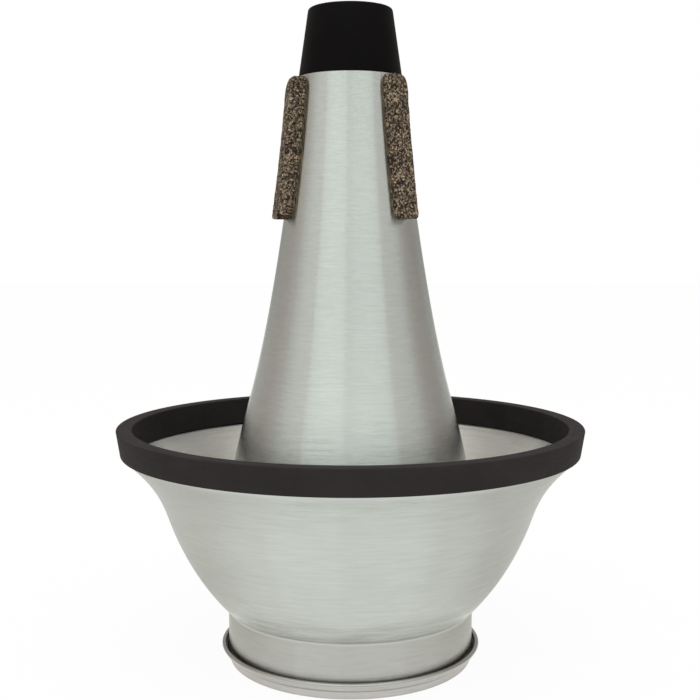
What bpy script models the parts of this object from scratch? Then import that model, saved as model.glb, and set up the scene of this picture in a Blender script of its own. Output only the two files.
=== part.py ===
"""Trombone cup mute with a sliding cup.

The mute stands on its base cap with the throat up. The origin is the middle
of the base's underside and +Z is the axis from the base to the throat.
"""

import math

import bmesh
import bpy
from mathutils import Vector
from mathutils.geometry import interpolate_bezier

MM = 0.001

# General
SEGMENTS = 48                       # facets round each turned piece
CLEARANCE = 0.3 * MM                # gap between pieces that touch
SHEET = 0.8 * MM                    # spun aluminium

# Cup: collar, bowl and flare, outside sizes
COLLAR_RADIUS = 47.4 * MM
COLLAR_BOTTOM = 5.0 * MM
BOWL_BOTTOM = 20.25 * MM            # crease between the collar and the bowl
BELLY_HEIGHT = 37.75 * MM           # from the crease to the narrowest slope
BELLY_RADIUS = 70.2 * MM
BELLY_LOW_SLOPE = 0.983             # growth in radius for each unit of height
BELLY_TOP_SLOPE = 0.344
FLARE_HEIGHT = 20.0 * MM
FLARE_INSET = 3.27 * MM             # from the lip in to the flare's upper end
FLARE_SLOPE = 0.99
LIP_RADIUS = 86.0 * MM              # upright edge that carries the rim ring
LIP_TURN = 4.6 * MM                 # height in which the flare turns upright
LIP_HEIGHT = 5.7 * MM

# Rim ring: a rubber channel on the cup's lip
RING_TOP_WALL = 2.6 * MM            # outer wall's thickness at the top
RING_FOOT_WALL = 1.2 * MM           # and at its lower edge
RING_INNER_WALL = 1.9 * MM
RING_ROOF = 2.7 * MM                # rubber above the lip
RING_SKIRT = 9.5 * MM               # outer wall's height
RING_EDGE = 0.5 * MM

# Body: turned cone
CONE_TOP = 222.1 * MM
CONE_TOP_RADIUS = 19.4 * MM
CONE_TOP_SLOPE = -0.06
WAIST_HEIGHT = 103.3 * MM
WAIST_RADIUS = 38.2 * MM
WAIST_SLOPE = -0.275
LAND_TOP = 72.0 * MM                # straight part that the cup slides on
HEM_HEIGHT = 2.4 * MM               # wide foot inside the base cap
HEM_TURN = 1.2 * MM

# Grip ring: friction lining between the cup's collar and the body
GRIP_THICKNESS = 1.0 * MM
GRIP_HEIGHT = 12.0 * MM
GRIP_LIFT = 1.5 * MM                # above the collar's lower edge

# Base cap: shallow pan with a curled lip
CAP_INSET = 0.4 * MM                # the wall stands inside the collar's line
CAP_CORNER = 0.9 * MM
CAP_WALL_TOP = 2.9 * MM
CAP_STEP_OUT = ((0.35, 0.20), (0.80, 0.62))     # shares of the step to the lip
CAP_STEP_IN = 0.4
CAP_LIP_GAP = 1.0 * MM              # between the collar and the lip
CAP_BEAD_RADIUS = 0.83 * MM
CAP_BEAD_HEIGHT = 6.1 * MM

# Throat tip
TIP_HEIGHT = 25.0 * MM
TIP_TOP_RADIUS = 15.9 * MM
TIP_BORE_RADIUS = 12.0 * MM
TIP_EDGE = 1.1 * MM
SPIGOT_LENGTH = 8.0 * MM

# Corks: three strips along the cone
CORK_LENGTH = 52.6 * MM
CORK_WIDTH = 7.9 * MM
CORK_THICKNESS = 4.7 * MM
CORK_EDGE = 0.9 * MM                # rounding along the outer face
CORK_CORNER = 1.9 * MM              # rounding of the ends, seen from outside
CORK_TOP_WEAR = 1.2 * MM            # thickness that the upper end has lost
CORK_STEPS = 6                      # lengths between its two rounded ends
CORK_END_STEPS = 3
CORK_DEGREES = {"cork_right": 49.5, "cork_back": 169.5, "cork_left": 289.5}

COLLAR_BORE = COLLAR_RADIUS - SHEET
LAND_RADIUS = COLLAR_BORE - GRIP_THICKNESS - 2 * CLEARANCE
CAP_WALL_RADIUS = COLLAR_RADIUS - CAP_INSET
BELLY_TOP = BOWL_BOTTOM + BELLY_HEIGHT
FLARE_TOP = BELLY_TOP + FLARE_HEIGHT
FLARE_RADIUS = LIP_RADIUS - FLARE_INSET
LIP_BOTTOM = FLARE_TOP + LIP_TURN
LIP_TOP = LIP_BOTTOM + LIP_HEIGHT
RING_TOP = LIP_TOP + CLEARANCE + RING_ROOF
RING_SLOT_OUTER = LIP_RADIUS + CLEARANCE
RING_SLOT_INNER = LIP_RADIUS - SHEET - CLEARANCE
RING_TOP_RADIUS = RING_SLOT_OUTER + RING_TOP_WALL
RING_FOOT_RADIUS = RING_SLOT_OUTER + RING_FOOT_WALL
RING_INNER_RADIUS = RING_SLOT_INNER - RING_INNER_WALL

ALUMINIUM = ("spun_aluminium", (0.62, 0.63, 0.60), 0.32, 1.0)
RUBBER = ("rim_rubber", (0.030, 0.026, 0.025), 0.60, 0.0)
TIP_PLASTIC = ("tip_plastic", (0.010, 0.009, 0.010), 0.45, 0.0)
CORK = ("composition_cork", (0.160, 0.105, 0.070), 0.90, 0.0)
FELT = ("grip_felt", (0.055, 0.050, 0.045), 0.95, 0.0)


def clear_scene():
    for obj in list(bpy.data.objects):
        bpy.data.objects.remove(obj, do_unlink=True)


def make_material(look, node):
    """One Principled material for one node."""
    kind, colour, roughness, metallic = look
    material = bpy.data.materials.new(node + "_" + kind)
    material.use_nodes = True
    shader = material.node_tree.nodes["Principled BSDF"]
    shader.inputs["Base Color"].default_value = (*colour, 1.0)
    shader.inputs["Roughness"].default_value = roughness
    shader.inputs["Metallic"].default_value = metallic
    material.diffuse_color = (*colour, 1.0)
    return material


def add_object(name, bm, look):
    bmesh.ops.recalc_face_normals(bm, faces=bm.faces)
    mesh = bpy.data.meshes.new(name)
    bm.to_mesh(mesh)
    bm.free()
    mesh.shade_smooth()
    mesh.set_sharp_from_angle(angle=math.radians(30))
    mesh.materials.append(make_material(look, name))
    obj = bpy.data.objects.new(name, mesh)
    bpy.context.scene.collection.objects.link(obj)
    return obj


def turn(name, outline, look, closed):
    """Turn an outline of (radius, height) points round the Z axis."""
    bm = bmesh.new()
    verts = [bm.verts.new((radius, 0.0, height)) for radius, height in outline]
    edges = [bm.edges.new(pair) for pair in zip(verts, verts[1:])]
    if closed:
        edges.append(bm.edges.new((verts[-1], verts[0])))
    bmesh.ops.spin(bm, geom=verts + edges, cent=(0, 0, 0), axis=(0, 0, 1),
                   angle=math.tau, steps=SEGMENTS, use_merge=True)
    bmesh.ops.remove_doubles(bm, verts=bm.verts, dist=0.001 * MM)
    return add_object(name, bm, look)


def curve(start, start_slope, end, end_slope, pull, steps):
    """Points of a smooth curve between two (radius, height) points.

    A slope is the change in radius for each unit of height, and pull is how
    far each handle reaches, as shares of the height between the points.
    """
    rise = end[1] - start[1]
    near = (start[0] + start_slope * rise * pull[0], start[1] + rise * pull[0])
    far = (end[0] - end_slope * rise * pull[1], end[1] - rise * pull[1])
    knots = [Vector(point) for point in (start, near, far, end)]
    points = interpolate_bezier(*knots, steps + 1)
    return [(point.x, point.y) for point in points]


def arc(centre, radius, start, end, steps):
    """Points of an arc in the outline's plane, angles in degrees."""
    points = []
    for step in range(steps + 1):
        angle = math.radians(start + (end - start) * step / steps)
        points.append((centre[0] + radius * math.cos(angle),
                       centre[1] + radius * math.sin(angle)))
    return points


def thicken(outline, thickness):
    """Close a sheet's outer outline with its inner one, sheet inward."""
    inner = []
    last = len(outline) - 1
    for index, (radius, height) in enumerate(outline):
        before = outline[max(index - 1, 0)]
        after = outline[min(index + 1, last)]
        into = Vector((radius - before[0], height - before[1]))
        out = Vector((after[0] - radius, after[1] - height))
        into = into.normalized() if index > 0 else out.normalized()
        out = out.normalized() if index < last else into
        along = (into + out).normalized()
        reach = thickness / max(along.dot(into), 0.5)
        inner.append((radius - along.y * reach, height + along.x * reach))
    return outline + inner[::-1]


def cone_outline():
    """The body's outside, from the hem at the base up to the throat."""
    cap_bore = CAP_WALL_RADIUS - SHEET
    hem_radius = cap_bore - CLEARANCE
    hem_bottom = SHEET + CLEARANCE
    hem_top = hem_bottom + HEM_HEIGHT
    foot = [(hem_radius, hem_bottom), (hem_radius, hem_top)]
    shoulder = (LAND_RADIUS, hem_top + HEM_TURN)
    waist = (WAIST_RADIUS, WAIST_HEIGHT)
    land_end = (LAND_RADIUS, LAND_TOP)
    throat = (CONE_TOP_RADIUS, CONE_TOP)
    skirt = curve(land_end, 0.0, waist, WAIST_SLOPE, (0.19, 0.73), 7)
    taper = curve(waist, WAIST_SLOPE, throat, CONE_TOP_SLOPE, (0.27, 0.24), 10)
    return foot + [shoulder] + skirt + taper[1:]


def cone_radius(height):
    """Radius of the body's outside at a height on the taper."""
    outline = cone_outline()
    for low, high in zip(outline, outline[1:]):
        if low[1] <= height <= high[1]:
            share = (height - low[1]) / (high[1] - low[1])
            return low[0] + share * (high[0] - low[0])
    return CONE_TOP_RADIUS


def make_cone():
    return turn("cone_shell", thicken(cone_outline(), SHEET), ALUMINIUM, closed=True)


def make_tip():
    """Moulded throat tip: tapered outside, open bore, spigot in the cone."""
    seat = CONE_TOP + CLEARANCE
    top = seat + TIP_HEIGHT
    spigot_radius = CONE_TOP_RADIUS - SHEET - CLEARANCE
    spigot_bottom = CONE_TOP - SPIGOT_LENGTH
    crown = arc((TIP_TOP_RADIUS - TIP_EDGE, top - TIP_EDGE), TIP_EDGE, 5, 90, 4)
    mouth = arc((TIP_BORE_RADIUS + TIP_EDGE, top - TIP_EDGE), TIP_EDGE, 90, 180, 3)
    outline = [(TIP_BORE_RADIUS, spigot_bottom), (spigot_radius, spigot_bottom)]
    outline += [(spigot_radius, seat), (CONE_TOP_RADIUS, seat)]
    outline += crown + mouth
    return turn("throat_tip", outline, TIP_PLASTIC, closed=True)


def make_base_cap():
    """Shallow pan that closes the wide end, with a curled lip."""
    wall = CAP_WALL_RADIUS
    bead_centre = (COLLAR_RADIUS + CAP_LIP_GAP + CAP_BEAD_RADIUS, CAP_BEAD_HEIGHT)
    corner = arc((wall - CAP_CORNER, CAP_CORNER), CAP_CORNER, -90, 0, 3)
    bead = arc(bead_centre, CAP_BEAD_RADIUS, -60, 200, 9)
    step = (bead[0][0] - wall, bead[0][1] - CAP_WALL_TOP)
    outside = [(0.0, 0.0)] + corner + [(wall, CAP_WALL_TOP)]
    for across, up in CAP_STEP_OUT:
        outside.append((wall + across * step[0], CAP_WALL_TOP + up * step[1]))
    bore = wall - SHEET
    inside = [(bead[-1][0], bead[-1][1] - SHEET)]
    inside += [(bore + CAP_STEP_IN * step[0], CAP_WALL_TOP + SHEET)]
    inside += [(bore, CAP_WALL_TOP + SHEET / 3), (bore, SHEET), (0.0, SHEET)]
    return turn("base_cap", outside + bead + inside, ALUMINIUM, closed=False)


def cup_outline():
    """The cup's outside, from the collar's lower edge to the lip."""
    crease = (COLLAR_RADIUS, BOWL_BOTTOM)
    belly = (BELLY_RADIUS, BELLY_TOP)
    flare = (FLARE_RADIUS, FLARE_TOP)
    lip = (LIP_RADIUS, LIP_BOTTOM)
    bowl = curve(crease, BELLY_LOW_SLOPE, belly, BELLY_TOP_SLOPE, (0.271, 0.402), 9)
    throat = curve(belly, BELLY_TOP_SLOPE, flare, FLARE_SLOPE, (0.396, 0.338), 5)
    turn_up = curve(flare, FLARE_SLOPE, lip, 0.0, (0.45, 0.40), 4)
    return [(COLLAR_RADIUS, COLLAR_BOTTOM)] + bowl + throat[1:] + turn_up[1:] + [(LIP_RADIUS, LIP_TOP)]


def make_cup():
    return turn("cup_bowl", thicken(cup_outline(), SHEET), ALUMINIUM, closed=True)


def make_rim_ring():
    """Rubber channel that grips the cup's lip from above."""
    slot_roof = LIP_TOP + CLEARANCE
    skirt_bottom = RING_TOP - RING_SKIRT
    # The inner wall ends on the flare's inner side, whose fall is FLARE_SLOPE
    inner_rest = FLARE_TOP + LIP_TURN / 2 + CLEARANCE
    outline = [(RING_SLOT_OUTER, skirt_bottom), (RING_FOOT_RADIUS, skirt_bottom)]
    outline += [(RING_TOP_RADIUS, RING_TOP - RING_EDGE), (RING_TOP_RADIUS - RING_EDGE, RING_TOP)]
    outline += [(RING_INNER_RADIUS + RING_EDGE, RING_TOP), (RING_INNER_RADIUS, RING_TOP - RING_EDGE)]
    outline += [(RING_INNER_RADIUS, inner_rest), (RING_SLOT_INNER, inner_rest + RING_INNER_WALL)]
    outline += [(RING_SLOT_INNER, slot_roof), (RING_SLOT_OUTER, slot_roof)]
    return turn("rim_ring", outline, RUBBER, closed=True)


def make_grip():
    inner = LAND_RADIUS + CLEARANCE
    outer = inner + GRIP_THICKNESS
    bottom = COLLAR_BOTTOM + GRIP_LIFT
    top = bottom + GRIP_HEIGHT
    outline = [(inner, bottom), (outer, bottom), (outer, top), (inner, top)]
    return turn("grip_ring", outline, FELT, closed=True)


def cork_section(radius, inset, wear):
    """Cross-section of a strip whose back follows the cone's curve."""
    half = CORK_WIDTH / 2 - inset
    seat = radius + CLEARANCE
    side = math.sqrt(seat ** 2 - half ** 2)
    face = seat + CORK_THICKNESS - wear
    section = [(0.0, seat), (half, side)]
    section += [(half, face - CORK_EDGE), (half - CORK_EDGE, face)]
    section += [(CORK_EDGE - half, face), (-half, face - CORK_EDGE)]
    section += [(-half, side)]
    return section


def cork_stations():
    """Heights down a strip, with how much of its width and face is lost."""
    top = CONE_TOP - CLEARANCE
    bottom = top - CORK_LENGTH
    upper = []
    lower = []
    for step in range(CORK_END_STEPS + 1):
        angle = math.radians(90 * step / CORK_END_STEPS)
        depth = CORK_CORNER * (1 - math.cos(angle))
        lost = 1 - math.sin(angle)
        upper.append((top - depth, CORK_CORNER * lost, CORK_TOP_WEAR * lost))
        lower.append((bottom + depth, CORK_CORNER * lost, CORK_EDGE / 2 * lost))
    span = CORK_LENGTH - 2 * CORK_CORNER
    middle = []
    for step in range(1, CORK_STEPS):
        middle.append((top - CORK_CORNER - span * step / CORK_STEPS, 0.0, 0.0))
    return upper + middle + lower[::-1]


def make_cork(name, degrees):
    """A strip of cork at an angle from -Y, turning towards +X."""
    angle = math.radians(degrees)
    outward = Vector((math.sin(angle), -math.cos(angle), 0))
    across = Vector((math.cos(angle), math.sin(angle), 0))
    bm = bmesh.new()
    loops = []
    for height, inset, wear in cork_stations():
        section = cork_section(cone_radius(height), inset, wear)
        level = Vector((0, 0, height))
        loops.append([bm.verts.new(across * x + outward * y + level) for x, y in section])
    bm.faces.new(loops[0])
    bm.faces.new(loops[-1])
    for upper, lower in zip(loops, loops[1:]):
        for corner in range(len(upper)):
            beyond = (corner + 1) % len(upper)
            bm.faces.new((upper[corner], upper[beyond], lower[beyond], lower[corner]))
    return add_object(name, bm, CORK)


def main():
    clear_scene()
    make_cone()
    make_tip()
    for name, degrees in CORK_DEGREES.items():
        make_cork(name, degrees)
    make_base_cap()
    make_grip()
    make_cup()
    make_rim_ring()


main()
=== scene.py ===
"""Trombone cup mute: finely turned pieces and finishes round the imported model.

Run as a script. The sidebar panel "Cup mute" lists one operator for each piece
and one for the stage, and their settings hold the sizes and the colours.
"""

import math

import bmesh
import bpy
from bpy.props import FloatProperty, FloatVectorProperty, IntProperty, PointerProperty
from bpy.types import Operator, Panel, PropertyGroup
from mathutils import Matrix, Vector, noise
from mathutils.geometry import interpolate_bezier


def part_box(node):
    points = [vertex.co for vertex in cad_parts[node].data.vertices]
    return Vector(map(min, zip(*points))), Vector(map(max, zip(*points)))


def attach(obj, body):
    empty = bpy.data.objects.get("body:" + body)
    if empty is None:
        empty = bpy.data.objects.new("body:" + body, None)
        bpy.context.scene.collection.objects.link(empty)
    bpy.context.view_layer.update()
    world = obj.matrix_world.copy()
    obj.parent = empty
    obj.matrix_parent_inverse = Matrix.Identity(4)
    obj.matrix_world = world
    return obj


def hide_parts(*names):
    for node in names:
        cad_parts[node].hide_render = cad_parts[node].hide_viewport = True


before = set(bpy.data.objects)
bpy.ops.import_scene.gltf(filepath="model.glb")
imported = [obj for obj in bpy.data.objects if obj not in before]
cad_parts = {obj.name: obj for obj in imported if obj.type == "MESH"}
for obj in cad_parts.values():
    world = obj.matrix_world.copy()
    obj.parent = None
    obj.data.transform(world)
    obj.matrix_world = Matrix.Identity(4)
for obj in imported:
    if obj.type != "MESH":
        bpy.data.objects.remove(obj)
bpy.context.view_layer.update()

bl_info = {
    "name": "Trombone Cup Mute",
    "version": (1, 0, 0),
    "blender": (4, 5, 0),
    "location": "3D View > Sidebar > Cup mute",
    "description": "Builds a trombone cup mute with a sliding cup, and its studio",
    "category": "Object",
}

MM = 0.001
MERGE_DISTANCE = 0.001 * MM
FIT_GAP = 0.3 * MM          # room between two pieces that slide or push together

# Cork strips
CORK_FACET = 0.45 * MM      # spacing of the points that the crumbling moves
CORK_MERGE = 0.02 * MM      # cut points closer than this become one
CORK_BEDDING = 0.05 * MM    # how far a strip's back is pressed on the cone
CRUMB_PITCH = 1500          # crumbs, dents and felt tufts for each metre
DENT_PITCH = 330
PILE_PITCH = 900

# How far each curve's handles reach, as shares of its height (see curve)
SKIRT_PULL = (0.19, 0.73)
TAPER_PULL = (0.27, 0.24)
BOWL_PULL = (0.271, 0.402)
FLARE_PULL = (0.396, 0.338)
TURN_UP_PULL = (0.45, 0.40)

# The base cap's lip leaves its wall along these shares of the way to the bead
CAP_STEP = ((0.25, 0.10), (0.55, 0.34), (0.84, 0.68))

LEAST_RADIUS = 1 * MM       # keeps the turning lines from meeting on the axis
OUTLINE_LEAN = 0.63         # how much a line's place depends on its radius
NOISE_RANGE = (0.3, 0.7)    # where most of a noise's values lie
SCRATCH_BRIGHT = (0.70, 0.76, 0.0, 1.0)
SCRATCH_DARK = (0.28, 0.23, 0.0, 1.0)
SCRATCH_TONE = 0.06

# Turning lines: breaks for each radian, lines for each metre, and detail
FINE_LINES = (3.0, 2600.0, 3.0)
COARSE_LINES = (5.0, 420.0, 4.0)
STREAKS = (6.0, 1500.0, 2.0)
SCRATCHES = (9.0, 1900.0, 1.0)
DRAG_LINES = (14.0, 1400.0, 3.0)
GROOVES = (2.0, 250000.0, 0.0)

# Ramps: a value's low and high end, and what they become
CREASE_BLEND = (-0.6 * MM, 0.6 * MM, 1.0, 0.0)      # heights above the crease
# The next two paint light on the bowl just above the crease, up to 1.48 times lighter and fading
# out by 7.2 mm up, to cancel the shade that the floor and collar throw there
CREASE_PAINTED_LIGHT = (0.5 * MM, 1.6 * MM, 1.20, 1.48)
BOWL_PAINTED_LIGHT = (2.2 * MM, 7.2 * MM, 1.48, 1.0)
FLOOR_FAR = (60 * MM, 90 * MM, 0.15, 0.60)          # distances from the axis
# The next two paint the floor's glossy tone: a painted glow up to 1.45 times brighter near the
# metal's foot, and a painted shadow under the foot
FLOOR_PAINTED_GLOW = (52 * MM, 58 * MM, 1.45, 1.0)
FLOOR_PAINTED_SHADOW = (46.5 * MM, 50.5 * MM, 0.75, 1.0)
SKY_RISE = (0.30, 0.52, 0.76, 1.27)                 # Z of the direction
SKY_TOP = (0.58, 0.85, 0.0, 0.45)
SKY_OVERHEAD = (0.50, 0.60, 0.0, 1.0)
SKY_UPPER = (0.45, 0.58, 0.0, 1.0)
SKY_BEHIND = (0.60, 0.85, 0.0, 1.0)                 # Y of the direction
SKY_REAR = (-0.25, 0.25, 0.0, -0.30)

FLOOR_BEND = 23.5 * MM      # half the collar's radius, which spreads what it mirrors
LEAST_BEND = 0.4
FLOOR_GAIN = 0.90           # the floor's share of the studio's levels
FLOOR_WHITE = 0.95          # how white the camera sees it, the rest is shadow
FLOOR_MIRRORED = 0.75       # how much of it the metal mirrors as a tone

# Lamps: azimuth and elevation in degrees, distance and size in metres
LAMPS = {
    "key": (-38, 24, 1.3, 0.9),
    "fill": (40, 22, 1.3, 0.9),
    "top": (0, 84, 1.3, 1.2),
}
LAMP_TARGET = (0, 0, 0.10)
SENSOR_WIDTH = 36.0
CAMERA_CLIP = 10 * MM

CONE_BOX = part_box("cone_shell")
TIP_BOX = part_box("throat_tip")
CAP_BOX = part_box("base_cap")
GRIP_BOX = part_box("grip_ring")
CUP_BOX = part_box("cup_bowl")
RIM_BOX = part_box("rim_ring")
CORK_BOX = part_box("cork_right")


def length(name, description, default):
    """A size in metres."""
    return FloatProperty(name=name, description=description, default=default,
                         min=0.0, precision=5, unit="LENGTH", subtype="DISTANCE")


def slope(name, description, default):
    """A plain ratio."""
    return FloatProperty(name=name, description=description, default=default, precision=4)


def share(name, description, default):
    """A value from 0 to 1."""
    return FloatProperty(name=name, description=description, default=default,
                         min=0.0, max=1.0, subtype="FACTOR")


def colour(name, description, default):
    """A linear colour."""
    return FloatVectorProperty(name=name, description=description, default=default,
                               size=3, min=0.0, max=1.0, subtype="COLOR")


class ConeSettings(PropertyGroup):
    sheet: length("Sheet", "Thickness of the spun sheet", 0.8 * MM)
    top_radius: length("Throat radius", "Outside radius under the throat tip", 19.4 * MM)
    top_slope: slope("Throat slope", "Change in radius for each unit of height", -0.06)
    waist_height: length("Waist height", "Height at which the taper is steepest", 103.3 * MM)
    waist_radius: length("Waist radius", "Outside radius at the waist", 38.2 * MM)
    waist_slope: slope("Waist slope", "Change in radius for each unit of height", -0.275)
    land_top: length("Land top", "Upper end of the straight part under the cup", 72.0 * MM)
    land_radius: length("Land radius", "Outside radius of the straight part", 45.0 * MM)
    hem_height: length("Hem height", "Height of the wide foot in the base cap", 2.4 * MM)
    hem_turn: length("Hem turn", "Height in which the foot narrows to the land", 1.2 * MM)
    steps: IntProperty(name="Turning steps", description="Facets round the cone",
                       default=192, min=24, max=256)


class TipSettings(PropertyGroup):
    top_radius: length("Top radius", "Outside radius at the open end", 15.9 * MM)
    bore_radius: length("Bore radius", "Radius of the open throat", 12.0 * MM)
    edge: length("Edge", "Rounding of the open end", 1.1 * MM)
    seat_gap: length("Seat gap", "Shadow line above the cone", 0.12 * MM)
    seat_edge: length("Seat edge", "Rounding of the edge over the cone", 0.2 * MM)
    steps: IntProperty(name="Turning steps", description="Facets round the tip",
                       default=144, min=24, max=256)


class CorkSettings(PropertyGroup):
    width: length("Width", "Width of a strip", 7.9 * MM)
    thickness: length("Thickness", "How far a strip stands off the cone", 4.95 * MM)
    corner: length("Corner", "Rounding of the ends, seen from outside", 1.9 * MM)
    edge: length("Edge", "Rounding of the cut edges", 0.8 * MM)
    top_wear: length("Top wear", "Thickness that the upper end has lost", 1.3 * MM)
    top_worn: length("Worn length", "How far down that wear reaches", 6.0 * MM)
    crumble: length("Crumble", "Depth of the crumbled and dented places", 0.22 * MM)
    grain: length("Grain", "Size of a cork granule", 0.62 * MM)
    right_angle: FloatProperty(name="Right strip", description="Angle from the front",
                               default=math.radians(49.5), subtype="ANGLE", unit="ROTATION")
    back_angle: FloatProperty(name="Back strip", description="Angle from the front",
                              default=math.radians(169.5), subtype="ANGLE", unit="ROTATION")
    left_angle: FloatProperty(name="Left strip", description="Angle from the front",
                              default=math.radians(289.5), subtype="ANGLE", unit="ROTATION")


class CapSettings(PropertyGroup):
    sheet: length("Sheet", "Thickness of the pan", 0.8 * MM)
    wall_radius: length("Wall radius", "Outside radius of the pan", 47.0 * MM)
    wall_top: length("Wall top", "Height where the pan steps out", 2.9 * MM)
    corner: length("Corner", "Rounding between the wall and the underside", 0.9 * MM)
    bead_radius: length("Bead", "Radius of the curled lip's section", 0.83 * MM)
    steps: IntProperty(name="Turning steps", description="Facets round the pan",
                       default=224, min=24, max=256)


class CupSettings(PropertyGroup):
    sheet: length("Sheet", "Thickness of the spun sheet", 0.8 * MM)
    collar_radius: length("Collar radius", "Outside radius of the straight neck", 47.4 * MM)
    crease_height: length("Crease height", "Where the bowl leaves the collar", 20.25 * MM)
    crease_slope: slope("Crease slope", "Growth in radius for each unit of height", 0.983)
    crease_fillet: length("Crease fillet", "Radius between collar and bowl", 2.5 * MM)
    belly_height: length("Belly height", "Where the bowl is steepest", 58.0 * MM)
    belly_radius: length("Belly radius", "Outside radius there", 70.2 * MM)
    belly_slope: slope("Belly slope", "Growth in radius for each unit of height", 0.344)
    flare_height: length("Flare height", "Where the flare starts to turn upright", 78.0 * MM)
    flare_radius: length("Flare radius", "Outside radius there", 82.73 * MM)
    flare_slope: slope("Flare slope", "Growth in radius for each unit of height", 0.99)
    lip_bottom: length("Lip bottom", "Where the upright edge starts", 82.6 * MM)
    steps: IntProperty(name="Turning steps", description="Facets round the cup",
                       default=256, min=24, max=256)


class RimSettings(PropertyGroup):
    inner_radius: length("Inner radius", "Radius of the inner wall", 83.0 * MM)
    foot_radius: length("Foot radius", "Outside radius at the skirt's lower edge", 87.5 * MM)
    skirt: length("Skirt", "Height of the outer wall", 9.5 * MM)
    inner_rest: length("Inner rest", "Height of the inner wall's lower edge", 80.2 * MM)
    edge: length("Edge", "Rounding of the upper edges", 0.45 * MM)
    foot_edge: length("Foot edge", "Rounding of the skirt's lower edge", 0.3 * MM)
    steps: IntProperty(name="Turning steps", description="Facets round the ring",
                       default=256, min=24, max=256)


class GripSettings(PropertyGroup):
    edge: length("Edge", "Rounding of the lining's edges", 0.3 * MM)
    pile: length("Pile", "Unevenness of the felt", 0.10 * MM)
    steps: IntProperty(name="Turning steps", description="Facets round the lining",
                       default=160, min=24, max=256)


class FinishSettings(PropertyGroup):
    aluminium: colour("Aluminium", "Spun aluminium", (0.655, 0.675, 0.650))
    aluminium_dark: colour("Aluminium, dull", "Duller turning lines", (0.620, 0.637, 0.615))
    aluminium_rim: colour("Aluminium, grazing", "Tint at grazing angles", (0.90, 0.90, 0.88))
    anisotropy: share("Anisotropy", "How far turning lines stretch a reflection", 1.0)
    polish: share("Polish", "Roughness of the best turning lines", 0.14)
    dull: share("Dull", "Roughness of the dullest turning lines", 0.19)
    # Below the cup's crease the metal takes this darker, warmer tint
    collar_tone: colour("Collar tone", "Darker, warmer tint below the crease",
                   (0.85, 0.817, 0.812))
    # A darker, greyer tint over the whole base cap
    cap_tint: colour("Base cap", "Greyer tint of the base cap", (0.77, 0.72, 0.73))
    groove_tilt: slope("Groove tilt", "How far the finest grooves rock the normal", 0.85)
    rubber: colour("Rubber", "Rim ring", (0.0214, 0.0168, 0.0180))
    tip: colour("Tip", "Moulded throat tip", (0.0018, 0.0010, 0.0012))
    cork_light: colour("Cork, light", "Pale granules", (0.560, 0.415, 0.285))
    cork_mid: colour("Cork, middle", "Most granules", (0.092, 0.065, 0.047))
    cork_dark: colour("Cork, dark", "Bark and binder", (0.010, 0.007, 0.006))
    felt: colour("Felt", "Friction lining", (0.050, 0.046, 0.042))
    floor: colour("Floor", "Studio floor", (0.90, 0.90, 0.90))
    # Painted tone in which the floor glows for glossy rays near the mute's foot
    painted_floor_tone: colour("Floor, mirrored", "What the metal mirrors of it", (0.93, 0.94, 0.892))


class StageSettings(PropertyGroup):
    floor_half: length("Floor", "Half the floor's width", 4.0)
    camera_distance: length("Camera distance", "From the axis", 430.81 * MM)
    camera_height: length("Camera height", "Above the floor", 160.785 * MM)
    camera_side: FloatProperty(name="Camera side", description="Offset to the right",
                               default=-0.157 * MM, precision=5, unit="LENGTH")
    camera_pitch: FloatProperty(name="Camera pitch", description="Downward tilt",
                                default=math.radians(5.459), subtype="ANGLE", unit="ROTATION")
    lens: FloatProperty(name="Lens", description="Focal length in millimetres",
                        default=57.944)
    key_power: FloatProperty(name="Key power", description="Left softbox, watts", default=0.5)
    fill_power: FloatProperty(name="Fill power", description="Right softbox, watts", default=0.4)
    top_power: FloatProperty(name="Top power", description="Lamp overhead, watts", default=5.0)


# Mesh helpers

def curve(start, start_slope, end, end_slope, pull, steps):
    """Points of a smooth curve between two (radius, height) points.

    A slope is the change in radius for each unit of height, and pull is how
    far each handle reaches, as shares of the height between the points.
    """
    rise = end[1] - start[1]
    near = (start[0] + start_slope * rise * pull[0], start[1] + rise * pull[0])
    far = (end[0] - end_slope * rise * pull[1], end[1] - rise * pull[1])
    knots = [Vector(point) for point in (start, near, far, end)]
    points = interpolate_bezier(*knots, steps + 1)
    return [(point.x, point.y) for point in points]


def arc(centre, radius, start, end, steps):
    """Points of an arc in the outline's plane, angles in degrees."""
    points = []
    for step in range(steps + 1):
        angle = math.radians(start + (end - start) * step / steps)
        points.append((centre[0] + radius * math.cos(angle),
                       centre[1] + radius * math.sin(angle)))
    return points


def thicken(outline, thickness):
    """Close a sheet's outer outline with its inner one, sheet inward."""
    inner = []
    last = len(outline) - 1
    for index, (radius, height) in enumerate(outline):
        before = outline[max(index - 1, 0)]
        after = outline[min(index + 1, last)]
        into = Vector((radius - before[0], height - before[1]))
        out = Vector((after[0] - radius, after[1] - height))
        into = into.normalized() if index > 0 else out.normalized()
        out = out.normalized() if index < last else into
        along = (into + out).normalized()
        reach = thickness / max(along.dot(into), 0.5)
        inner.append((radius - along.y * reach, height + along.x * reach))
    return outline + inner[::-1]


def finish_piece(name, bm, material, body, nodes, sharp=30):
    """Turn a bmesh into a named piece that rides on a body."""
    mesh = bpy.data.meshes.new(name)
    bm.to_mesh(mesh)
    bm.free()
    mesh.shade_smooth()
    mesh.set_sharp_from_angle(angle=math.radians(sharp))
    mesh.materials.append(material)
    piece = bpy.data.objects.new(name, mesh)
    bpy.context.scene.collection.objects.link(piece)
    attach(piece, body)
    if nodes:
        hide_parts(*nodes)
    return piece


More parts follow.
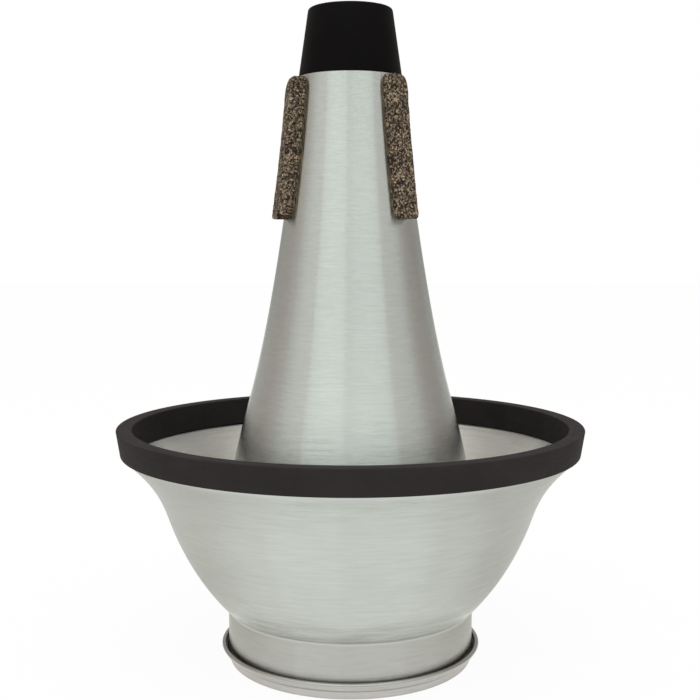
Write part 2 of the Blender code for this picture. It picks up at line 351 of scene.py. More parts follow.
def turn(outline, steps, closed=True):
    """Turn an outline of (radius, height) points round the Z axis."""
    bm = bmesh.new()
    verts = [bm.verts.new((radius, 0.0, height)) for radius, height in outline]
    edges = [bm.edges.new(pair) for pair in zip(verts, verts[1:])]
    if closed:
        edges.append(bm.edges.new((verts[-1], verts[0])))
    bmesh.ops.spin(bm, geom=verts + edges, cent=(0, 0, 0), axis=(0, 0, 1),
                   angle=math.tau, steps=steps, use_merge=True)
    bmesh.ops.remove_doubles(bm, verts=bm.verts, dist=MERGE_DISTANCE)
    bmesh.ops.recalc_face_normals(bm, faces=bm.faces)
    return bm


# Material helpers

class Nodes:
    """A small wrapper that adds nodes and links to one tree."""

    def __init__(self, tree):
        self.tree = tree

    def add(self, kind, inputs=None, **settings):
        """Add a node. Inputs hold values or sockets, and settings its choices."""
        node = self.tree.nodes.new(kind)
        for key, value in settings.items():
            setattr(node, key, value)
        for key, value in (inputs or {}).items():
            socket = node.inputs[key]
            if isinstance(value, bpy.types.NodeSocket):
                self.tree.links.new(value, socket)
            else:
                socket.default_value = value
        return node

    def math(self, operation, first, second=0.0, clamp=False):
        node = self.add("ShaderNodeMath", {0: first, 1: second},
                        operation=operation, use_clamp=clamp)
        return node.outputs[0]

    def vector_math(self, operation, first, second=(0.0, 0.0, 0.0)):
        node = self.add("ShaderNodeVectorMath", {0: first, 1: second}, operation=operation)
        return node.outputs[0]

    def combine(self, x, y, z):
        return self.add("ShaderNodeCombineXYZ", {0: x, 1: y, 2: z}).outputs[0]

    def remap(self, value, low, high, to_low, to_high):
        node = self.add("ShaderNodeMapRange", {"Value": value, "From Min": low,
                                               "From Max": high, "To Min": to_low,
                                               "To Max": to_high})
        return node.outputs["Result"]

    def spread(self, value, low, high):
        """Turn a noise into values from low to high."""
        return self.remap(value, *NOISE_RANGE, low, high)

    def mix_colour(self, factor, first, second):
        node = self.add("ShaderNodeMix", data_type="RGBA")
        for key, value in ((0, factor), (6, first), (7, second)):
            if isinstance(value, bpy.types.NodeSocket):
                self.tree.links.new(value, node.inputs[key])
            elif key == 0:
                node.inputs[key].default_value = value
            else:
                node.inputs[key].default_value = (*value, 1.0)
        return node.outputs[2]

    def noise(self, vector, scale, detail=2.0, roughness=0.5):
        node = self.add("ShaderNodeTexNoise", {"Vector": vector, "Scale": scale,
                                               "Detail": detail, "Roughness": roughness})
        return node.outputs[0]

    def grey(self, vector, level):
        """Multiply each channel of a vector by one level."""
        return self.vector_math("MULTIPLY", vector, self.combine(level, level, level))

    def average(self, first, second, part):
        """Mix two values, with part of the first."""
        return self.math("ADD", self.math("MULTIPLY", first, part),
                         self.math("MULTIPLY", second, 1.0 - part))

    def bump(self, height, strength, distance, **inputs):
        node = self.add("ShaderNodeBump", {"Strength": strength, "Distance": distance,
                                           "Height": height, **inputs})
        return node.outputs[0]

    def surface(self, shader, tone, rough, normal):
        """Link what every material sets."""
        self.tree.links.new(tone, shader.inputs["Base Color"])
        self.tree.links.new(rough, shader.inputs["Roughness"])
        self.tree.links.new(normal, shader.inputs["Normal"])


def new_material(name):
    """An empty material with a Principled shader, as (material, nodes, shader)."""
    material = bpy.data.materials.new(name)
    material.use_nodes = True
    shader = material.node_tree.nodes["Principled BSDF"]
    return material, Nodes(material.node_tree), shader


def turning_coordinates(nodes):
    """Coordinates that run round the axis, so that lines follow the lathe.

    X and Y are the direction from the axis, and Z grows along the outline.
    """
    place = nodes.add("ShaderNodeTexCoord").outputs["Object"]
    x, y, z = nodes.add("ShaderNodeSeparateXYZ", {0: place}).outputs
    flat = nodes.combine(x, y, 0.0)
    radius = nodes.add("ShaderNodeVectorMath", {0: flat}, operation="LENGTH").outputs["Value"]
    radius = nodes.math("MAXIMUM", radius, LEAST_RADIUS)
    across = nodes.math("DIVIDE", x, radius)
    along = nodes.math("DIVIDE", y, radius)
    travel = nodes.math("SUBTRACT", z, nodes.math("MULTIPLY", radius, OUTLINE_LEAN))
    return place, across, along, travel


def turning_lines(nodes, across, along, travel, lines):
    """Noise drawn out round the axis."""
    breaks, pitch, detail = lines
    place = nodes.combine(nodes.math("MULTIPLY", across, breaks),
                          nodes.math("MULTIPLY", along, breaks),
                          nodes.math("MULTIPLY", travel, pitch))
    return nodes.noise(place, 1.0, detail, 0.6)


def turned_grooves(nodes, across, along, travel, tilt):
    """A normal that rocks along the outline, as the finest lathe grooves do.

    The grooves are too fine to be seen one by one. They only spread what the
    metal mirrors, up and down but not sideways.
    """
    groove = turning_lines(nodes, across, along, travel, GROOVES)
    lean = nodes.math("MULTIPLY", nodes.math("SUBTRACT", groove, 0.5), tilt)
    round_axis = nodes.combine(nodes.math("MULTIPLY", along, -1.0), across, 0.0)
    round_axis = nodes.add("ShaderNodeVectorTransform", {0: round_axis}, vector_type="VECTOR",
                           convert_from="OBJECT", convert_to="WORLD").outputs[0]
    normal = nodes.add("ShaderNodeNewGeometry").outputs["Normal"]
    up_outline = nodes.vector_math("CROSS_PRODUCT", round_axis, normal)
    rocked = nodes.vector_math("ADD", normal, nodes.grey(up_outline, lean))
    return nodes.vector_math("NORMALIZE", rocked)


def spun_aluminium(settings, name, tint=(1.0, 1.0, 1.0), crease_at=0.0):
    """Bright aluminium with fine turning lines and a stretched highlight.

    Tint multiplies the piece's colour. Below the given crease height the metal
    takes a darker, warmer tint, and just above the crease painted light up to
    1.48 times the tone cancels the shade that the floor and collar throw there.
    """
    material, nodes, shader = new_material(name)
    place, across, along, travel = turning_coordinates(nodes)
    fine, coarse, streak, scratch = (
        turning_lines(nodes, across, along, travel, lines)
        for lines in (FINE_LINES, COARSE_LINES, STREAKS, SCRATCHES))
    cloud = nodes.noise(place, 28.0, 3.0, 0.55)
    bright_scratch = nodes.remap(scratch, *SCRATCH_BRIGHT)
    dark_scratch = nodes.remap(scratch, *SCRATCH_DARK)
    dullness = nodes.spread(nodes.average(fine, coarse, 0.55), 0.0, 1.0)
    bright = tuple(a * b for a, b in zip(settings.aluminium, tint))
    dim = tuple(a * b for a, b in zip(settings.aluminium_dark, tint))
    tone = nodes.mix_colour(dullness, bright, dim)
    level = nodes.math("MULTIPLY", nodes.spread(cloud, 0.985, 1.015),
                       nodes.spread(streak, 0.97, 1.03))
    level = nodes.math("ADD", level, nodes.math("MULTIPLY", bright_scratch, SCRATCH_TONE))
    level = nodes.math("SUBTRACT", level, nodes.math("MULTIPLY", dark_scratch, SCRATCH_TONE))
    tone = nodes.grey(tone, level)
    if crease_at:
        z = nodes.add("ShaderNodeSeparateXYZ", {0: place}).outputs[2]
        above = nodes.math("SUBTRACT", z, crease_at)
        # Below the crease the metal takes a darker, warmer tint
        collar_toned = nodes.vector_math("MULTIPLY", tone, settings.collar_tone)
        # Painted light just above the crease, up to 1.48 times the tone, cancels the shade that
        # the floor and collar throw on the bowl
        painted_light_gain = nodes.math("MINIMUM", nodes.remap(above, *CREASE_PAINTED_LIGHT),
                          nodes.remap(above, *BOWL_PAINTED_LIGHT))
        painted_crease_light = nodes.grey(tone, painted_light_gain)
        tone = nodes.mix_colour(nodes.remap(above, *CREASE_BLEND), painted_crease_light, collar_toned)
    shader.inputs["Metallic"].default_value = 1.0
    shader.inputs["Specular Tint"].default_value = (*settings.aluminium_rim, 1.0)
    shader.inputs["Anisotropic"].default_value = settings.anisotropy
    shader.inputs["Anisotropic Rotation"].default_value = 0.25
    tangent = nodes.add("ShaderNodeTangent", direction_type="RADIAL", axis="Z").outputs[0]
    rough = nodes.remap(dullness, 0.0, 1.0, settings.polish, settings.dull)
    height = nodes.math("ADD", nodes.math("MULTIPLY", fine, 0.6),
                        nodes.math("MULTIPLY", bright_scratch, 0.25))
    grooves = turned_grooves(nodes, across, along, travel, settings.groove_tilt)
    nodes.surface(shader, tone, rough, nodes.bump(height, 0.12, 0.02 * MM, Normal=grooves))
    material.node_tree.links.new(tangent, shader.inputs["Tangent"])
    return material


def rim_rubber(settings):
    """Brown-black extruded rubber with a fine drag along its length."""
    material, nodes, shader = new_material("rim_rubber")
    place, across, along, travel = turning_coordinates(nodes)
    drag = turning_lines(nodes, across, along, travel, DRAG_LINES)
    grain = nodes.noise(place, 5200.0, 2.0, 0.5)
    bloom = nodes.noise(place, 55.0, 4.0, 0.6)
    pale = tuple(channel * 1.7 for channel in settings.rubber)
    tone = nodes.mix_colour(nodes.remap(bloom, 0.4, 0.75, 0.0, 0.5), settings.rubber, pale)
    rough = nodes.spread(drag, 0.62, 0.74)
    shader.inputs["Specular IOR Level"].default_value = 0.15
    height = nodes.average(drag, grain, 0.5)
    nodes.surface(shader, tone, rough, nodes.bump(height, 0.25, 0.04 * MM))
    return material


def tip_plastic(settings):
    """Black moulded tip, satin, with faint mould flow."""
    material, nodes, shader = new_material("tip_plastic")
    place = nodes.add("ShaderNodeTexCoord").outputs["Object"]
    grain = nodes.noise(place, 4200.0, 2.0, 0.5)
    flow = nodes.noise(nodes.vector_math("MULTIPLY", place, (1.0, 1.0, 0.25)), 110.0, 3.0, 0.5)
    pale = tuple(channel * 1.9 for channel in settings.tip)
    tone = nodes.mix_colour(nodes.remap(flow, 0.35, 0.75, 0.0, 0.6), settings.tip, pale)
    rough = nodes.spread(flow, 0.44, 0.54)
    shader.inputs["Specular IOR Level"].default_value = 0.08
    nodes.surface(shader, tone, rough, nodes.bump(grain, 0.2, 0.03 * MM))
    return material


def composition_cork(settings, grain):
    """Granulated cork: pale, brown and dark grains in a dark binder."""
    material, nodes, shader = new_material("composition_cork")
    place = nodes.add("ShaderNodeTexCoord").outputs["Object"]
    wobble = nodes.add("ShaderNodeTexNoise", {"Vector": place, "Scale": 900.0}).outputs["Color"]
    wobble = nodes.vector_math("SUBTRACT", wobble, (0.5, 0.5, 0.5))
    shift = nodes.add("ShaderNodeVectorMath", {0: wobble, "Scale": 0.7 * MM},
                      operation="SCALE").outputs[0]
    moved = nodes.vector_math("ADD", place, shift)
    cells, edges, small = (
        nodes.add("ShaderNodeTexVoronoi", {"Vector": moved, "Scale": scale / grain},
                  feature=feature)
        for scale, feature in ((1.0, "F1"), (1.0, "DISTANCE_TO_EDGE"), (2.3, "F1")))
    pick = nodes.add("ShaderNodeSeparateColor", {0: cells.outputs["Color"]}).outputs[0]
    pick_small = nodes.add("ShaderNodeSeparateColor", {0: small.outputs["Color"]}).outputs[1]
    ramp = nodes.add("ShaderNodeValToRGB", {0: nodes.average(pick, pick_small, 0.62)})
    dark, light = ramp.color_ramp.elements
    dark.position = 0.25
    dark.color = (*settings.cork_dark, 1.0)
    light.position = 0.88
    light.color = (*settings.cork_light, 1.0)
    ramp.color_ramp.elements.new(0.55).color = (*settings.cork_mid, 1.0)
    binder = nodes.remap(edges.outputs["Distance"], 0.0, 0.10, 0.75, 0.0)
    tone = nodes.mix_colour(binder, ramp.outputs["Color"], settings.cork_dark)
    fibre = nodes.noise(place, 4500.0, 3.0, 0.6)
    height = nodes.math("ADD", nodes.math("MULTIPLY", edges.outputs["Distance"], 1.4),
                        nodes.math("MULTIPLY", fibre, 0.35))
    rough = nodes.spread(fibre, 0.78, 0.95)
    shader.inputs["Specular IOR Level"].default_value = 0.25
    nodes.surface(shader, tone, rough, nodes.bump(height, 0.7, 0.22 * MM))
    return material


def grip_felt(settings):
    """Dense dark felt."""
    material, nodes, shader = new_material("grip_felt")
    place = nodes.add("ShaderNodeTexCoord").outputs["Object"]
    fibre = nodes.noise(nodes.vector_math("MULTIPLY", place, (1.0, 1.0, 1.8)), 2600.0, 5.0, 0.7)
    pale = tuple(channel * 2.0 for channel in settings.felt)
    tone = nodes.mix_colour(nodes.spread(fibre, 0.0, 1.0), settings.felt, pale)
    shader.inputs["Sheen Weight"].default_value = 0.35
    shader.inputs["Sheen Roughness"].default_value = 0.5
    rough = nodes.spread(fibre, 0.85, 1.0)
    nodes.surface(shader, tone, rough, nodes.bump(fibre, 0.8, 0.15 * MM))
    return material


# The studio that the metal mirrors: angle from the front, tint and level
STUDIO_PANELS = (
    (-180, "rear", 0.60), (-150, "rear", 0.51), (-140, "rear", 0.565), (-125, "dark", 0.575),
    (-108, "dark", 0.564), (-100, "dark", 0.606), (-92, "dark", 0.658), (-82, "side", 0.731),
    (-76, "side", 0.789), (-70, "side", 0.836), (-52, "side", 0.857), (-49, "front", 0.975),
    (-44, "front", 0.99), (-10, "front", 0.975), (-6, "front", 0.89), (2, "front", 0.89),
    (6, "front", 0.91), (38, "front", 0.905), (47, "front", 0.895), (51, "side", 0.789),
    (56, "side", 0.752), (75, "side", 0.731), (80, "side", 0.700), (97, "dark", 0.533),
    (108, "dark", 0.486), (122, "dark", 0.475), (132, "rear", 0.49), (142, "rear", 0.53),
    (150, "rear", 0.50), (180, "rear", 0.60),
)
PANEL_TINTS = {
    "front": (0.968, 1.022, 0.981),
    "side": (0.968, 0.974, 0.931),
    "dark": (0.968, 0.904, 0.832),
    "rear": (0.968, 0.940, 0.902),
}


def studio_levels(nodes, facing, gain):
    """The studio's brightness by direction: bright in front, dim at the sides.

    Facing is the angle from the front, and gain scales all the levels.
    """
    place = nodes.math("ADD", nodes.math("DIVIDE", facing, math.tau), 0.5)
    ramp = nodes.add("ShaderNodeValToRGB", {0: place})
    elements = ramp.color_ramp.elements
    for angle, tint, level in STUDIO_PANELS:
        if abs(angle) == 180:
            element = elements[0 if angle < 0 else -1]
        else:
            element = elements.new(angle / 360 + 0.5)
        element.color = (*(gain * level * channel for channel in PANEL_TINTS[tint]), 1.0)
    return ramp.outputs["Color"]


# Outlines

def cone_outline(cone):
    """The cone's outside, from the hem at the base up to the throat."""
    low, high = CONE_BOX
    hem_top = low.z + cone.hem_height
    foot = [(high.x, low.z), (high.x, hem_top)]
    foot += [(cone.land_radius, hem_top + cone.hem_turn)]
    land_end = (cone.land_radius, cone.land_top)
    waist = (cone.waist_radius, cone.waist_height)
    throat = (cone.top_radius, high.z)
    skirt = curve(land_end, 0.0, waist, cone.waist_slope, SKIRT_PULL, 24)
    taper = curve(waist, cone.waist_slope, throat, cone.top_slope, TAPER_PULL, 40)
    return foot + skirt + taper[1:]


def cone_radius(cone, height):
    """Radius of the cone's outside at a height."""
    outline = cone_outline(cone)
    for low, high in zip(outline, outline[1:]):
        if low[1] <= height <= high[1]:
            part = (height - low[1]) / (high[1] - low[1])
            return low[0] + part * (high[0] - low[0])
    return cone.top_radius


def cup_outline(cup):
    """The cup's outside, from the collar's lower edge to the lip."""
    low, high = CUP_BOX
    crease = (cup.collar_radius, cup.crease_height)
    belly = (cup.belly_radius, cup.belly_height)
    flare = (cup.flare_radius, cup.flare_height)
    lip = (high.x, cup.lip_bottom)
    flare_angle = math.degrees(math.atan(cup.crease_slope))
    tangent = cup.crease_fillet * math.tan(math.radians(flare_angle) / 2)
    bend_centre = (cup.collar_radius + cup.crease_fillet, cup.crease_height - tangent)
    bend = arc(bend_centre, cup.crease_fillet, 180, 180 - flare_angle, 7)
    bowl = curve(crease, cup.crease_slope, belly, cup.belly_slope, BOWL_PULL, 36)
    bowl = [point for point in bowl if point[1] > bend[-1][1] + 0.1 * MM]
    throat = curve(belly, cup.belly_slope, flare, cup.flare_slope, FLARE_PULL, 20)
    turn_up = curve(flare, cup.flare_slope, lip, 0.0, TURN_UP_PULL, 12)
    rise = bend + bowl + throat[1:] + turn_up[1:]
    return [(cup.collar_radius, low.z)] + rise + [(high.x, high.z)]


class MUTE_OT_cone(Operator):
    """Turn the cone that is the mute's body"""
    bl_idname = "mute.cone"
    bl_label = "Cone"

    def execute(self, context):
        cone = context.scene.mute_cone
        finish = context.scene.mute_finish
        bm = turn(thicken(cone_outline(cone), cone.sheet), cone.steps)
        material = spun_aluminium(finish, "cone_aluminium")
        finish_piece("cone", bm, material, "mute_body", ["cone_shell"])
        return {"FINISHED"}


class MUTE_OT_tip(Operator):
    """Turn the moulded throat tip with its open bore and spigot"""
    bl_idname = "mute.tip"
    bl_label = "Throat tip"

    def execute(self, context):
        tip = context.scene.mute_tip
        cone = context.scene.mute_cone
        low, high = TIP_BOX
        seat = CONE_BOX[1].z + tip.seat_gap
        spigot = cone.top_radius - cone.sheet - FIT_GAP
        crown = arc((tip.top_radius - tip.edge, high.z - tip.edge), tip.edge, 6, 90, 8)
        mouth = arc((tip.bore_radius + tip.edge, high.z - tip.edge), tip.edge, 90, 180, 8)
        edge = tip.seat_edge
        seat_edge = arc((cone.top_radius - edge, seat + edge), edge, -90, 0, 3)
        outline = [(tip.bore_radius, low.z), (spigot, low.z), (spigot, seat)]
        outline += seat_edge + crown + mouth
        bm = turn(outline, tip.steps)
        material = tip_plastic(context.scene.mute_finish)
        finish_piece("tip", bm, material, "mute_body", ["throat_tip"])
        return {"FINISHED"}


class MUTE_OT_corks(Operator):
    """Cut the three cork strips and lay them along the cone"""
    bl_idname = "mute.corks"
    bl_label = "Corks"

    def execute(self, context):
        cork = context.scene.mute_cork
        cone = context.scene.mute_cone
        material = composition_cork(context.scene.mute_finish, cork.grain)
        strips = {"right": cork.right_angle, "back": cork.back_angle, "left": cork.left_angle}
        for seed, (side, angle) in enumerate(strips.items()):
            bm = self.cut_strip(cork)
            self.wear_down(bm, cork, Vector((seed * 0.31, seed * 0.17, 0.0)))
            self.lay_on_cone(bm, cork, cone, angle)
            finish_piece("cork_strip_" + side, bm, material, "mute_body",
                         ["cork_" + side], sharp=60)
        return {"FINISHED"}

    def cut_strip(self, cork):
        """A rounded bar: X across, Y off the cone, Z up, its back at Y = 0."""
        low, high = CORK_BOX
        bar = Vector((cork.width, cork.thickness, high.z - low.z))
        middle = Vector((0, cork.thickness / 2, (low.z + high.z) / 2))
        bm = bmesh.new()
        place = Matrix.Translation(middle) @ Matrix.Diagonal((*bar, 1.0))
        bmesh.ops.create_cube(bm, size=1.0, matrix=place)
        corners = [edge for edge in bm.edges
                   if abs(edge.verts[0].co.y - edge.verts[1].co.y) > cork.thickness / 2]
        bmesh.ops.bevel(bm, geom=corners, offset=cork.corner, offset_type="OFFSET", segments=6,
                        profile=0.5, affect="EDGES", material=-1)
        outer = [edge for edge in bm.edges
                 if min(vert.co.y for vert in edge.verts) > cork.thickness * 0.9]
        bmesh.ops.bevel(bm, geom=outer, offset=cork.edge, offset_type="OFFSET", segments=4,
                        profile=0.5, affect="EDGES", material=-1)
        for axis in (Vector((0, 0, 1)), Vector((1, 0, 0)), Vector((0, 1, 0))):
            reach = [vert.co.dot(axis) for vert in bm.verts]
            cuts = round((max(reach) - min(reach)) / CORK_FACET)
            for cut in range(1, cuts):
                level = min(reach) + (max(reach) - min(reach)) * cut / cuts
                geom = list(bm.verts) + list(bm.edges) + list(bm.faces)
                bmesh.ops.bisect_plane(bm, geom=geom, plane_co=axis * level, plane_no=axis)
        bmesh.ops.remove_doubles(bm, verts=bm.verts, dist=CORK_MERGE)
        bmesh.ops.triangulate(bm, faces=[face for face in bm.faces if len(face.verts) > 4])
        return bm

    def wear_down(self, bm, cork, shift):
        """Thin the upper end and crumble the surface a little."""
        bm.normal_update()
        top = CORK_BOX[1].z
        offsets = []
        for vert in bm.verts:
            free = min(vert.co.y / cork.edge, 1.0)
            crumb = noise.noise((vert.co + shift) * CRUMB_PITCH)
            dent = noise.noise((vert.co + shift) * DENT_PITCH)
            depth = cork.crumble * (0.5 * crumb + 0.5 * dent - 0.5)
            near_top = max(1.0 - (top - vert.co.z) / cork.top_worn, 0.0)
            thin = cork.top_wear * near_top ** 2 * vert.co.y / cork.thickness
            offsets.append(vert.normal * depth * free - Vector((0, thin, 0)))
        for vert, offset in zip(bm.verts, offsets):
            vert.co += offset

    def lay_on_cone(self, bm, cork, cone, angle):
        """Bend the strip's back to the cone and turn it to its place."""
        for vert in bm.verts:
            radius = cone_radius(cone, vert.co.z) - CORK_BEDDING
            drop = radius - math.sqrt(radius ** 2 - vert.co.x ** 2)
            vert.co.y += radius - drop * (1.0 - vert.co.y / cork.thickness)
        turned = Matrix.Rotation(angle, 3, "Z") @ Matrix.Diagonal((1, -1, 1))
        bmesh.ops.transform(bm, matrix=turned.to_4x4(), verts=bm.verts)
        bmesh.ops.recalc_face_normals(bm, faces=bm.faces)


class MUTE_OT_base_cap(Operator):
    """Turn the shallow pan with its curled lip"""
    bl_idname = "mute.base_cap"
    bl_label = "Base cap"

    def execute(self, context):
        cap = context.scene.mute_cap
        low, high = CAP_BOX
        wall = cap.wall_radius
        bead_centre = (high.x - cap.bead_radius, high.z - cap.bead_radius)
        corner = arc((wall - cap.corner, low.z + cap.corner), cap.corner, -90, 0, 8)
        bead = arc(bead_centre, cap.bead_radius, -60, 200, 22)
        step = (bead[0][0] - wall, bead[0][1] - cap.wall_top)
        outer = [(wall, cap.wall_top)]
        outer += [(wall + out * step[0], cap.wall_top + up * step[1]) for out, up in CAP_STEP]
        bore = wall - cap.sheet
        inner = [(bead[-1][0], bead[-1][1] - cap.sheet)]
        inner += [(bore + 0.4 * step[0], cap.wall_top + cap.sheet)]
        inner += [(bore, cap.wall_top + 0.3 * cap.sheet), (bore, low.z + cap.sheet)]
        rings = [(wall * part, low.z) for part in (0.0, 0.3, 0.6, 0.9)]
        floor = [(bore * part, low.z + cap.sheet) for part in (0.6, 0.3, 0.0)]
        bm = turn(rings + corner + outer + bead + inner + floor, cap.steps, closed=False)
        finish = context.scene.mute_finish
        material = spun_aluminium(finish, "cap_aluminium", finish.cap_tint)
        finish_piece("cap", bm, material, "mute_body", ["base_cap"])
        return {"FINISHED"}


class MUTE_OT_grip_ring(Operator):
    """Make the friction lining inside the collar"""
    bl_idname = "mute.grip_ring"
    bl_label = "Grip ring"

    def execute(self, context):
        grip = context.scene.mute_grip
        cone = context.scene.mute_cone
        low, high = GRIP_BOX
        inner = cone.land_radius + FIT_GAP
        edge = grip.edge
        outline = arc((high.x - edge, low.z + edge), edge, -90, 0, 3)
        outline += [(high.x, low.z + (high.z - low.z) * part) for part in (0.25, 0.5, 0.75)]
        outline += arc((high.x - edge, high.z - edge), edge, 0, 90, 3)
        outline += arc((inner + edge, high.z - edge), edge, 90, 180, 3)
        outline += [(inner, low.z + (high.z - low.z) * part) for part in (0.75, 0.5, 0.25)]
        outline += arc((inner + edge, low.z + edge), edge, 180, 270, 3)
        bm = turn(outline, grip.steps)
        bm.normal_update()
        for vert in bm.verts:
            tuft = noise.noise(vert.co * PILE_PITCH)
            vert.co -= vert.normal * grip.pile * (0.5 + 0.5 * tuft)
        material = grip_felt(context.scene.mute_finish)
        finish_piece("lining", bm, material, "grip", ["grip_ring"])
        return {"FINISHED"}


class MUTE_OT_cup(Operator):
    """Turn the cup: collar, bowl, flare and lip in one sheet"""
    bl_idname = "mute.cup"
    bl_label = "Cup"

    def execute(self, context):
        cup = context.scene.mute_cup
        bm = turn(thicken(cup_outline(cup), cup.sheet), cup.steps)
        material = spun_aluminium(context.scene.mute_finish, "cup_aluminium",
                                  crease_at=cup.crease_height)
        finish_piece("cup", bm, material, "cup", ["cup_bowl"])
        return {"FINISHED"}


class MUTE_OT_rim_ring(Operator):
    """Turn the rubber channel on the cup's lip"""
    bl_idname = "mute.rim_ring"
    bl_label = "Rim ring"

    def execute(self, context):
        rim = context.scene.mute_rim
        cup = context.scene.mute_cup
        high = RIM_BOX[1]
        slot_outer = CUP_BOX[1].x + FIT_GAP
        slot_inner = CUP_BOX[1].x - cup.sheet - FIT_GAP
        slot_roof = CUP_BOX[1].z + FIT_GAP
        skirt_bottom = high.z - rim.skirt
        edge = rim.edge
        foot = (rim.foot_radius - rim.foot_edge, skirt_bottom + rim.foot_edge)
        outline = [(slot_outer, skirt_bottom)]
        outline += arc(foot, rim.foot_edge, -90, 0, 4)
        outline += arc((high.x - edge, high.z - edge), edge, 8, 90, 6)
        outline += arc((rim.inner_radius + edge, high.z - edge), edge, 90, 180, 6)
        outline += [(rim.inner_radius, rim.inner_rest + 0.3 * MM)]
        outline += [(rim.inner_radius + 0.25 * MM, rim.inner_rest + 0.1 * MM)]
        wall = slot_inner - rim.inner_radius
        outline += [(slot_inner, rim.inner_rest + wall), (slot_inner, slot_roof)]
        outline += [(slot_outer, slot_roof)]
        bm = turn(outline, rim.steps)
        material = rim_rubber(context.scene.mute_finish)
        finish_piece("rim", bm, material, "cup", ["rim_ring"])
        return {"FINISHED"}


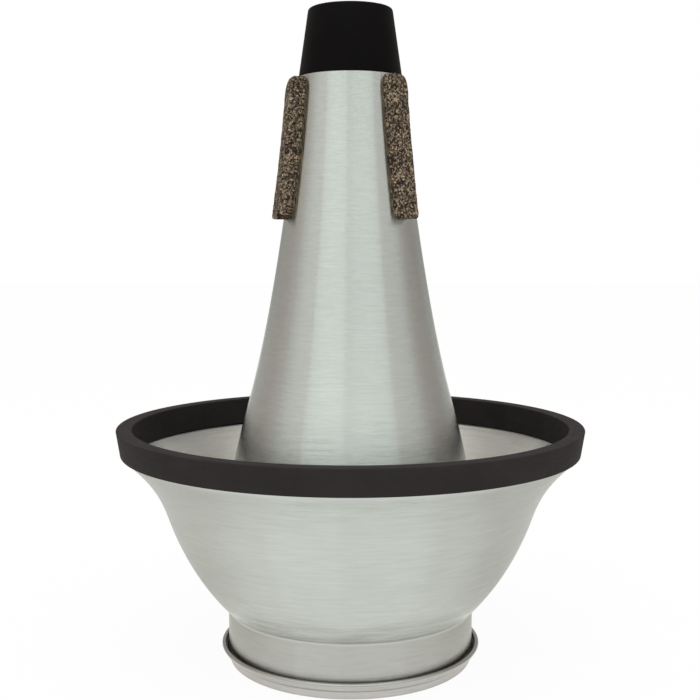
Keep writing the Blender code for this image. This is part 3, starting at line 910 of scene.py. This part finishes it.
class MUTE_OT_stage(Operator):
    """Lay the floor, set the lamps and the sky, and place the camera"""
    bl_idname = "mute.stage"
    bl_label = "Stage"

    def execute(self, context):
        stage = context.scene.mute_stage
        self.lay_floor(context, stage)
        self.paint_sky(context)
        self.set_lamps(context, stage)
        self.place_camera(context, stage)
        context.scene.view_settings.view_transform = "Standard"
        return {"FINISHED"}

    def lay_floor(self, context, stage):
        bm = bmesh.new()
        bmesh.ops.create_grid(bm, x_segments=1, y_segments=1, size=stage.floor_half)
        mesh = bpy.data.meshes.new("floor")
        bm.to_mesh(mesh)
        bm.free()
        finish = context.scene.mute_finish
        material, nodes, shader = new_material("studio_floor")
        shader.inputs["Base Color"].default_value = (*finish.floor, 1.0)
        shader.inputs["Roughness"].default_value = 0.9
        shader.inputs["Specular IOR Level"].default_value = 0.0
        path = nodes.add("ShaderNodeLightPath").outputs
        seen = nodes.math("ADD", path["Is Camera Ray"], path["Is Transmission Ray"], clamp=True)
        white = nodes.add("ShaderNodeEmission", {"Color": (1, 1, 1, 1), "Strength": 1.0})
        whiteness = nodes.math("MULTIPLY", seen, FLOOR_WHITE)
        shown = nodes.add("ShaderNodeMixShader", {0: whiteness, 1: shader.outputs[0],
                                                  2: white.outputs[0]})
        place = nodes.add("ShaderNodeTexCoord").outputs["Object"]
        x, y, z = nodes.add("ShaderNodeSeparateXYZ", {0: place}).outputs
        reach = nodes.add("ShaderNodeVectorMath", {0: place}, operation="LENGTH").outputs["Value"]
        around = nodes.math("ARCTAN2", x, nodes.math("MULTIPLY", y, -1.0))
        bend = nodes.math("SUBTRACT", 1.0, nodes.math("DIVIDE", FLOOR_BEND, reach))
        facing = nodes.math("DIVIDE", around, nodes.math("MAXIMUM", bend, LEAST_BEND))
        levels = studio_levels(nodes, facing, FLOOR_GAIN)
        tone = nodes.mix_colour(nodes.remap(reach, *FLOOR_FAR), finish.painted_floor_tone, levels)
        # Painted glow near the foot times a painted shadow under it
        foot = nodes.math("MULTIPLY", nodes.remap(reach, *FLOOR_PAINTED_GLOW),
                          nodes.remap(reach, *FLOOR_PAINTED_SHADOW))
        # For glossy rays the floor glows with this painted reflection tone, though it is no lamp
        mirrored = nodes.add("ShaderNodeEmission", {"Color": nodes.grey(tone, foot),
                                                    "Strength": 1.0})
        glossy = nodes.math("MULTIPLY", path["Is Glossy Ray"], FLOOR_MIRRORED)
        mixed = nodes.add("ShaderNodeMixShader", {0: glossy, 1: shown.outputs[0],
                                                  2: mirrored.outputs[0]})
        output = material.node_tree.nodes["Material Output"]
        material.node_tree.links.new(mixed.outputs[0], output.inputs["Surface"])
        mesh.materials.append(material)
        floor = bpy.data.objects.new("floor", mesh)
        context.scene.collection.objects.link(floor)

    def paint_sky(self, context):
        """White to the camera, and to the pieces a studio with dim sides."""
        world = bpy.data.worlds.new("studio")
        world.use_nodes = True
        context.scene.world = world
        nodes = Nodes(world.node_tree)
        direction = nodes.add("ShaderNodeTexCoord").outputs["Generated"]
        x, y, z = nodes.add("ShaderNodeSeparateXYZ", {0: direction}).outputs
        level = nodes.math("ADD", nodes.remap(z, *SKY_RISE), nodes.remap(z, *SKY_TOP))
        facing = nodes.math("ARCTAN2", x, nodes.math("SUBTRACT", 1.0, y))
        facing = nodes.math("MULTIPLY", facing, 2.0)
        around = nodes.math("ARCTAN2", x, nodes.math("MULTIPLY", y, -1.0))
        plain = nodes.math("MAXIMUM", nodes.remap(z, *SKY_OVERHEAD),
                           nodes.remap(y, *SKY_BEHIND))
        facing = nodes.math("ADD", facing, nodes.math(
            "MULTIPLY", nodes.math("SUBTRACT", around, facing), plain))
        rear = nodes.math("MULTIPLY", nodes.remap(y, *SKY_REAR), nodes.remap(z, *SKY_UPPER))
        level = nodes.math("MULTIPLY", level, nodes.math("ADD", rear, 1.0))
        sky = nodes.grey(studio_levels(nodes, facing, 1.0), level)
        path = nodes.add("ShaderNodeLightPath").outputs
        seen = nodes.math("ADD", path["Is Camera Ray"], path["Is Transmission Ray"], clamp=True)
        shown = nodes.mix_colour(seen, sky, (1.0, 1.0, 1.0))
        background = world.node_tree.nodes["Background"]
        background.inputs["Strength"].default_value = 1.0
        world.node_tree.links.new(shown, background.inputs["Color"])

    def set_lamps(self, context, stage):
        """Two softboxes in front and one overhead."""
        powers = {"key": stage.key_power, "fill": stage.fill_power, "top": stage.top_power}
        for name, (azimuth, elevation, distance, size) in LAMPS.items():
            around = math.radians(azimuth)
            up = math.radians(elevation)
            back = Vector((math.sin(around) * math.cos(up), -math.cos(around) * math.cos(up),
                           math.sin(up)))
            light = bpy.data.lights.new(name, "AREA")
            light.shape = "SQUARE"
            light.size = size
            light.energy = powers[name]
            lamp = bpy.data.objects.new(name, light)
            lamp.location = Vector(LAMP_TARGET) + back * distance
            lamp.rotation_euler = back.to_track_quat("Z", "Y").to_euler()
            lamp.visible_glossy = False
            context.scene.collection.objects.link(lamp)

    def place_camera(self, context, stage):
        data = bpy.data.cameras.new("camera")
        data.lens = stage.lens
        data.sensor_width = SENSOR_WIDTH
        data.clip_start = CAMERA_CLIP
        camera = bpy.data.objects.new("camera", data)
        camera.location = (stage.camera_side, -stage.camera_distance, stage.camera_height)
        camera.rotation_euler = (math.radians(90) - stage.camera_pitch, 0.0, 0.0)
        context.scene.collection.objects.link(camera)
        context.scene.camera = camera


class MUTE_PT_panel(Panel):
    """Lists the mute's pieces and its stage"""
    bl_idname = "MUTE_PT_panel"
    bl_label = "Cup mute"
    bl_space_type = "VIEW_3D"
    bl_region_type = "UI"
    bl_category = "Cup mute"

    def draw(self, context):
        for operator in OPERATORS:
            self.layout.operator(operator.bl_idname)


OPERATORS = (MUTE_OT_stage, MUTE_OT_cone, MUTE_OT_tip, MUTE_OT_corks, MUTE_OT_base_cap,
             MUTE_OT_grip_ring, MUTE_OT_cup, MUTE_OT_rim_ring)
SETTINGS = {
    "mute_cone": ConeSettings,
    "mute_tip": TipSettings,
    "mute_cork": CorkSettings,
    "mute_cap": CapSettings,
    "mute_cup": CupSettings,
    "mute_rim": RimSettings,
    "mute_grip": GripSettings,
    "mute_finish": FinishSettings,
    "mute_stage": StageSettings,
}


def register():
    for name, settings in SETTINGS.items():
        bpy.utils.register_class(settings)
        setattr(bpy.types.Scene, name, PointerProperty(type=settings))
    for operator in OPERATORS:
        bpy.utils.register_class(operator)
    bpy.utils.register_class(MUTE_PT_panel)


def unregister():
    bpy.utils.unregister_class(MUTE_PT_panel)
    for operator in reversed(OPERATORS):
        bpy.utils.unregister_class(operator)
    for name, settings in reversed(SETTINGS.items()):
        delattr(bpy.types.Scene, name)
        bpy.utils.unregister_class(settings)


def main():
    """Build the mute and its stage."""
    register()
    bpy.ops.mute.stage()
    bpy.ops.mute.cone()
    bpy.ops.mute.tip()
    bpy.ops.mute.corks()
    bpy.ops.mute.base_cap()
    bpy.ops.mute.grip_ring()
    bpy.ops.mute.cup()
    bpy.ops.mute.rim_ring()


if __name__ == "__main__":
    main()
